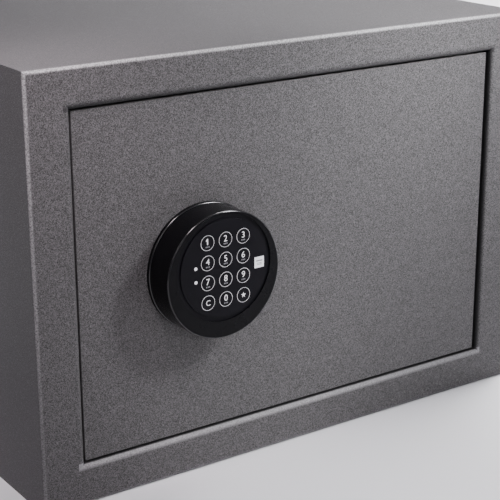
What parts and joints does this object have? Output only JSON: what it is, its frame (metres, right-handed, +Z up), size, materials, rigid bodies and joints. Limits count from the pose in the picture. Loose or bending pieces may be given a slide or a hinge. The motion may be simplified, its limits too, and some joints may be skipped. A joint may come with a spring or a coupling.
{
  "type": "in room safe",
  "caption": "Compact folded-steel room safe with a flush hinged door, a turning knob that carries a keypad, and sliding round locking bolts.",
  "frame": {"origin": "centre of the bounding box's bottom: on the floor plane, halfway between the back and the knob's face", "axes": "+X to the right seen from the front, -Y out of the door, +Z up; the door is closed and unlocked at rest"},
  "size_m": [0.35, 0.2694, 0.25],
  "materials": {
    "powder_coat": "fine textured graphite powder coat with metallic speckle",
    "zinc_steel": "zinc-plated sheet steel",
    "bright_steel": "turned bright steel",
    "black_screw": "black oxide",
    "brass": "plain",
    "copper_winding": "enamelled winding",
    "circuit_board": "solder mask",
    "lead_insulation": "soft satin",
    "knob_plastic": "satin black",
    "fascia_plastic": "fine matte black",
    "key_plastic": "fine matte black with white printing",
    "white_plastic": "white",
    "black_plastic": "moulded grain",
    "cell_jacket": "printed jacket",
    "felt": "needle felt"
  },
  "bodies": {
    "cabinet": {"cabinet_shell": "powder_coat", "floor_sheet": "powder_coat", "back_panel": "powder_coat", "door_stop_strip": "powder_coat", "upper_hinge_plate": "zinc_steel", "lower_hinge_plate": "zinc_steel", "upper_hinge_pin": "bright_steel", "lower_hinge_pin": "bright_steel", "hinge_washer": "brass", "floor_mat": "felt"},
    "door": {"door_plate": "powder_coat", "upper_hinge_block": "zinc_steel", "lower_hinge_block": "zinc_steel", "knob_base_ring": "knob_plastic", "bolt_guide": "zinc_steel", "guide_stud": "zinc_steel", "door_inner_cover": "powder_coat", "cover_standoffs": "zinc_steel", "cover_screws": "bright_steel", "solenoid_frame": "zinc_steel", "solenoid_coil": "copper_winding", "plunger_spring": "bright_steel", "lock_board": "circuit_board", "wiring_harness": "lead_insulation", "battery_box": "black_plastic", "battery_contacts": "bright_steel", "battery_cell_1": "cell_jacket", "battery_cell_2": "cell_jacket", "battery_cell_3": "cell_jacket", "battery_cell_4": "cell_jacket"},
    "knob": {"knob_housing": "knob_plastic", "keypad_fascia": "fascia_plastic", "keypad_board": "circuit_board", "spindle": "zinc_steel", "spindle_cable": "lead_insulation", "cam_disc": "zinc_steel", "cam_pin": "bright_steel", "status_lenses": "white_plastic", "label_plate": "white_plastic"},
    "bolt_work": {"bolt_carriage": "zinc_steel", "upper_bolt": "bright_steel", "lower_bolt": "bright_steel", "carriage_screws": "black_screw"},
    "plunger": {"solenoid_plunger": "bright_steel"},
    "lid": {"battery_lid": "black_plastic"},
    "key_1_body": {"key_1": "key_plastic"},
    "key_2_body": {"key_2": "key_plastic"},
    "key_3_body": {"key_3": "key_plastic"},
    "key_4_body": {"key_4": "key_plastic"},
    "key_5_body": {"key_5": "key_plastic"},
    "key_6_body": {"key_6": "key_plastic"},
    "key_7_body": {"key_7": "key_plastic"},
    "key_8_body": {"key_8": "key_plastic"},
    "key_9_body": {"key_9": "key_plastic"},
    "key_clear_body": {"key_clear": "key_plastic"},
    "key_0_body": {"key_0": "key_plastic"},
    "key_star_body": {"key_star": "key_plastic"}
  },
  "joints": [
    {"name": "door_hinge", "type": "hinge", "parent": "cabinet", "child": "door", "pos_m": [0.13055, -0.10635, 0.126], "axis": [0, 0, 1], "range_deg": [0, 105]},
    {"name": "knob_turn", "type": "hinge", "parent": "door", "child": "knob", "pos_m": [-0.06695, -0.11535, 0.126], "axis": [0, -1, 0], "range_deg": [0, 90]},
    {"name": "bolt_slide", "type": "slide", "parent": "door", "child": "bolt_work", "axis": [-1, 0, 0], "range_m": [0, 0.015]},
    {"name": "plunger_slide", "type": "slide", "parent": "door", "child": "plunger", "axis": [0, 0, -1], "range_m": [0, 0.004], "stiffness_N_per_m": 200, "springref_m": -0.002, "deforming": ["plunger_spring"]},
    {"name": "battery_lid_slide", "type": "slide", "parent": "door", "child": "lid", "axis": [-1, 0, 0], "range_m": [0, 0.055]},
    {"name": "press_1", "type": "slide", "parent": "knob", "child": "key_1_body", "axis": [0, 1, 0], "range_m": [0, 0.0006], "stiffness_N_per_m": 400, "springref_m": -0.0003},
    {"name": "press_2", "type": "slide", "parent": "knob", "child": "key_2_body", "axis": [0, 1, 0], "range_m": [0, 0.0006], "stiffness_N_per_m": 400, "springref_m": -0.0003},
    {"name": "press_3", "type": "slide", "parent": "knob", "child": "key_3_body", "axis": [0, 1, 0], "range_m": [0, 0.0006], "stiffness_N_per_m": 400, "springref_m": -0.0003},
    {"name": "press_4", "type": "slide", "parent": "knob", "child": "key_4_body", "axis": [0, 1, 0], "range_m": [0, 0.0006], "stiffness_N_per_m": 400, "springref_m": -0.0003},
    {"name": "press_5", "type": "slide", "parent": "knob", "child": "key_5_body", "axis": [0, 1, 0], "range_m": [0, 0.0006], "stiffness_N_per_m": 400, "springref_m": -0.0003},
    {"name": "press_6", "type": "slide", "parent": "knob", "child": "key_6_body", "axis": [0, 1, 0], "range_m": [0, 0.0006], "stiffness_N_per_m": 400, "springref_m": -0.0003},
    {"name": "press_7", "type": "slide", "parent": "knob", "child": "key_7_body", "axis": [0, 1, 0], "range_m": [0, 0.0006], "stiffness_N_per_m": 400, "springref_m": -0.0003},
    {"name": "press_8", "type": "slide", "parent": "knob", "child": "key_8_body", "axis": [0, 1, 0], "range_m": [0, 0.0006], "stiffness_N_per_m": 400, "springref_m": -0.0003},
    {"name": "press_9", "type": "slide", "parent": "knob", "child": "key_9_body", "axis": [0, 1, 0], "range_m": [0, 0.0006], "stiffness_N_per_m": 400, "springref_m": -0.0003},
    {"name": "press_clear", "type": "slide", "parent": "knob", "child": "key_clear_body", "axis": [0, 1, 0], "range_m": [0, 0.0006], "stiffness_N_per_m": 400, "springref_m": -0.0003},
    {"name": "press_0", "type": "slide", "parent": "knob", "child": "key_0_body", "axis": [0, 1, 0], "range_m": [0, 0.0006], "stiffness_N_per_m": 400, "springref_m": -0.0003},
    {"name": "press_star", "type": "slide", "parent": "knob", "child": "key_star_body", "axis": [0, 1, 0], "range_m": [0, 0.0006], "stiffness_N_per_m": 400, "springref_m": -0.0003}
  ],
  "couplings": [
    {"joint": "knob_turn", "follows": "bolt_slide", "rad_per_m": 104.72}
  ]
}
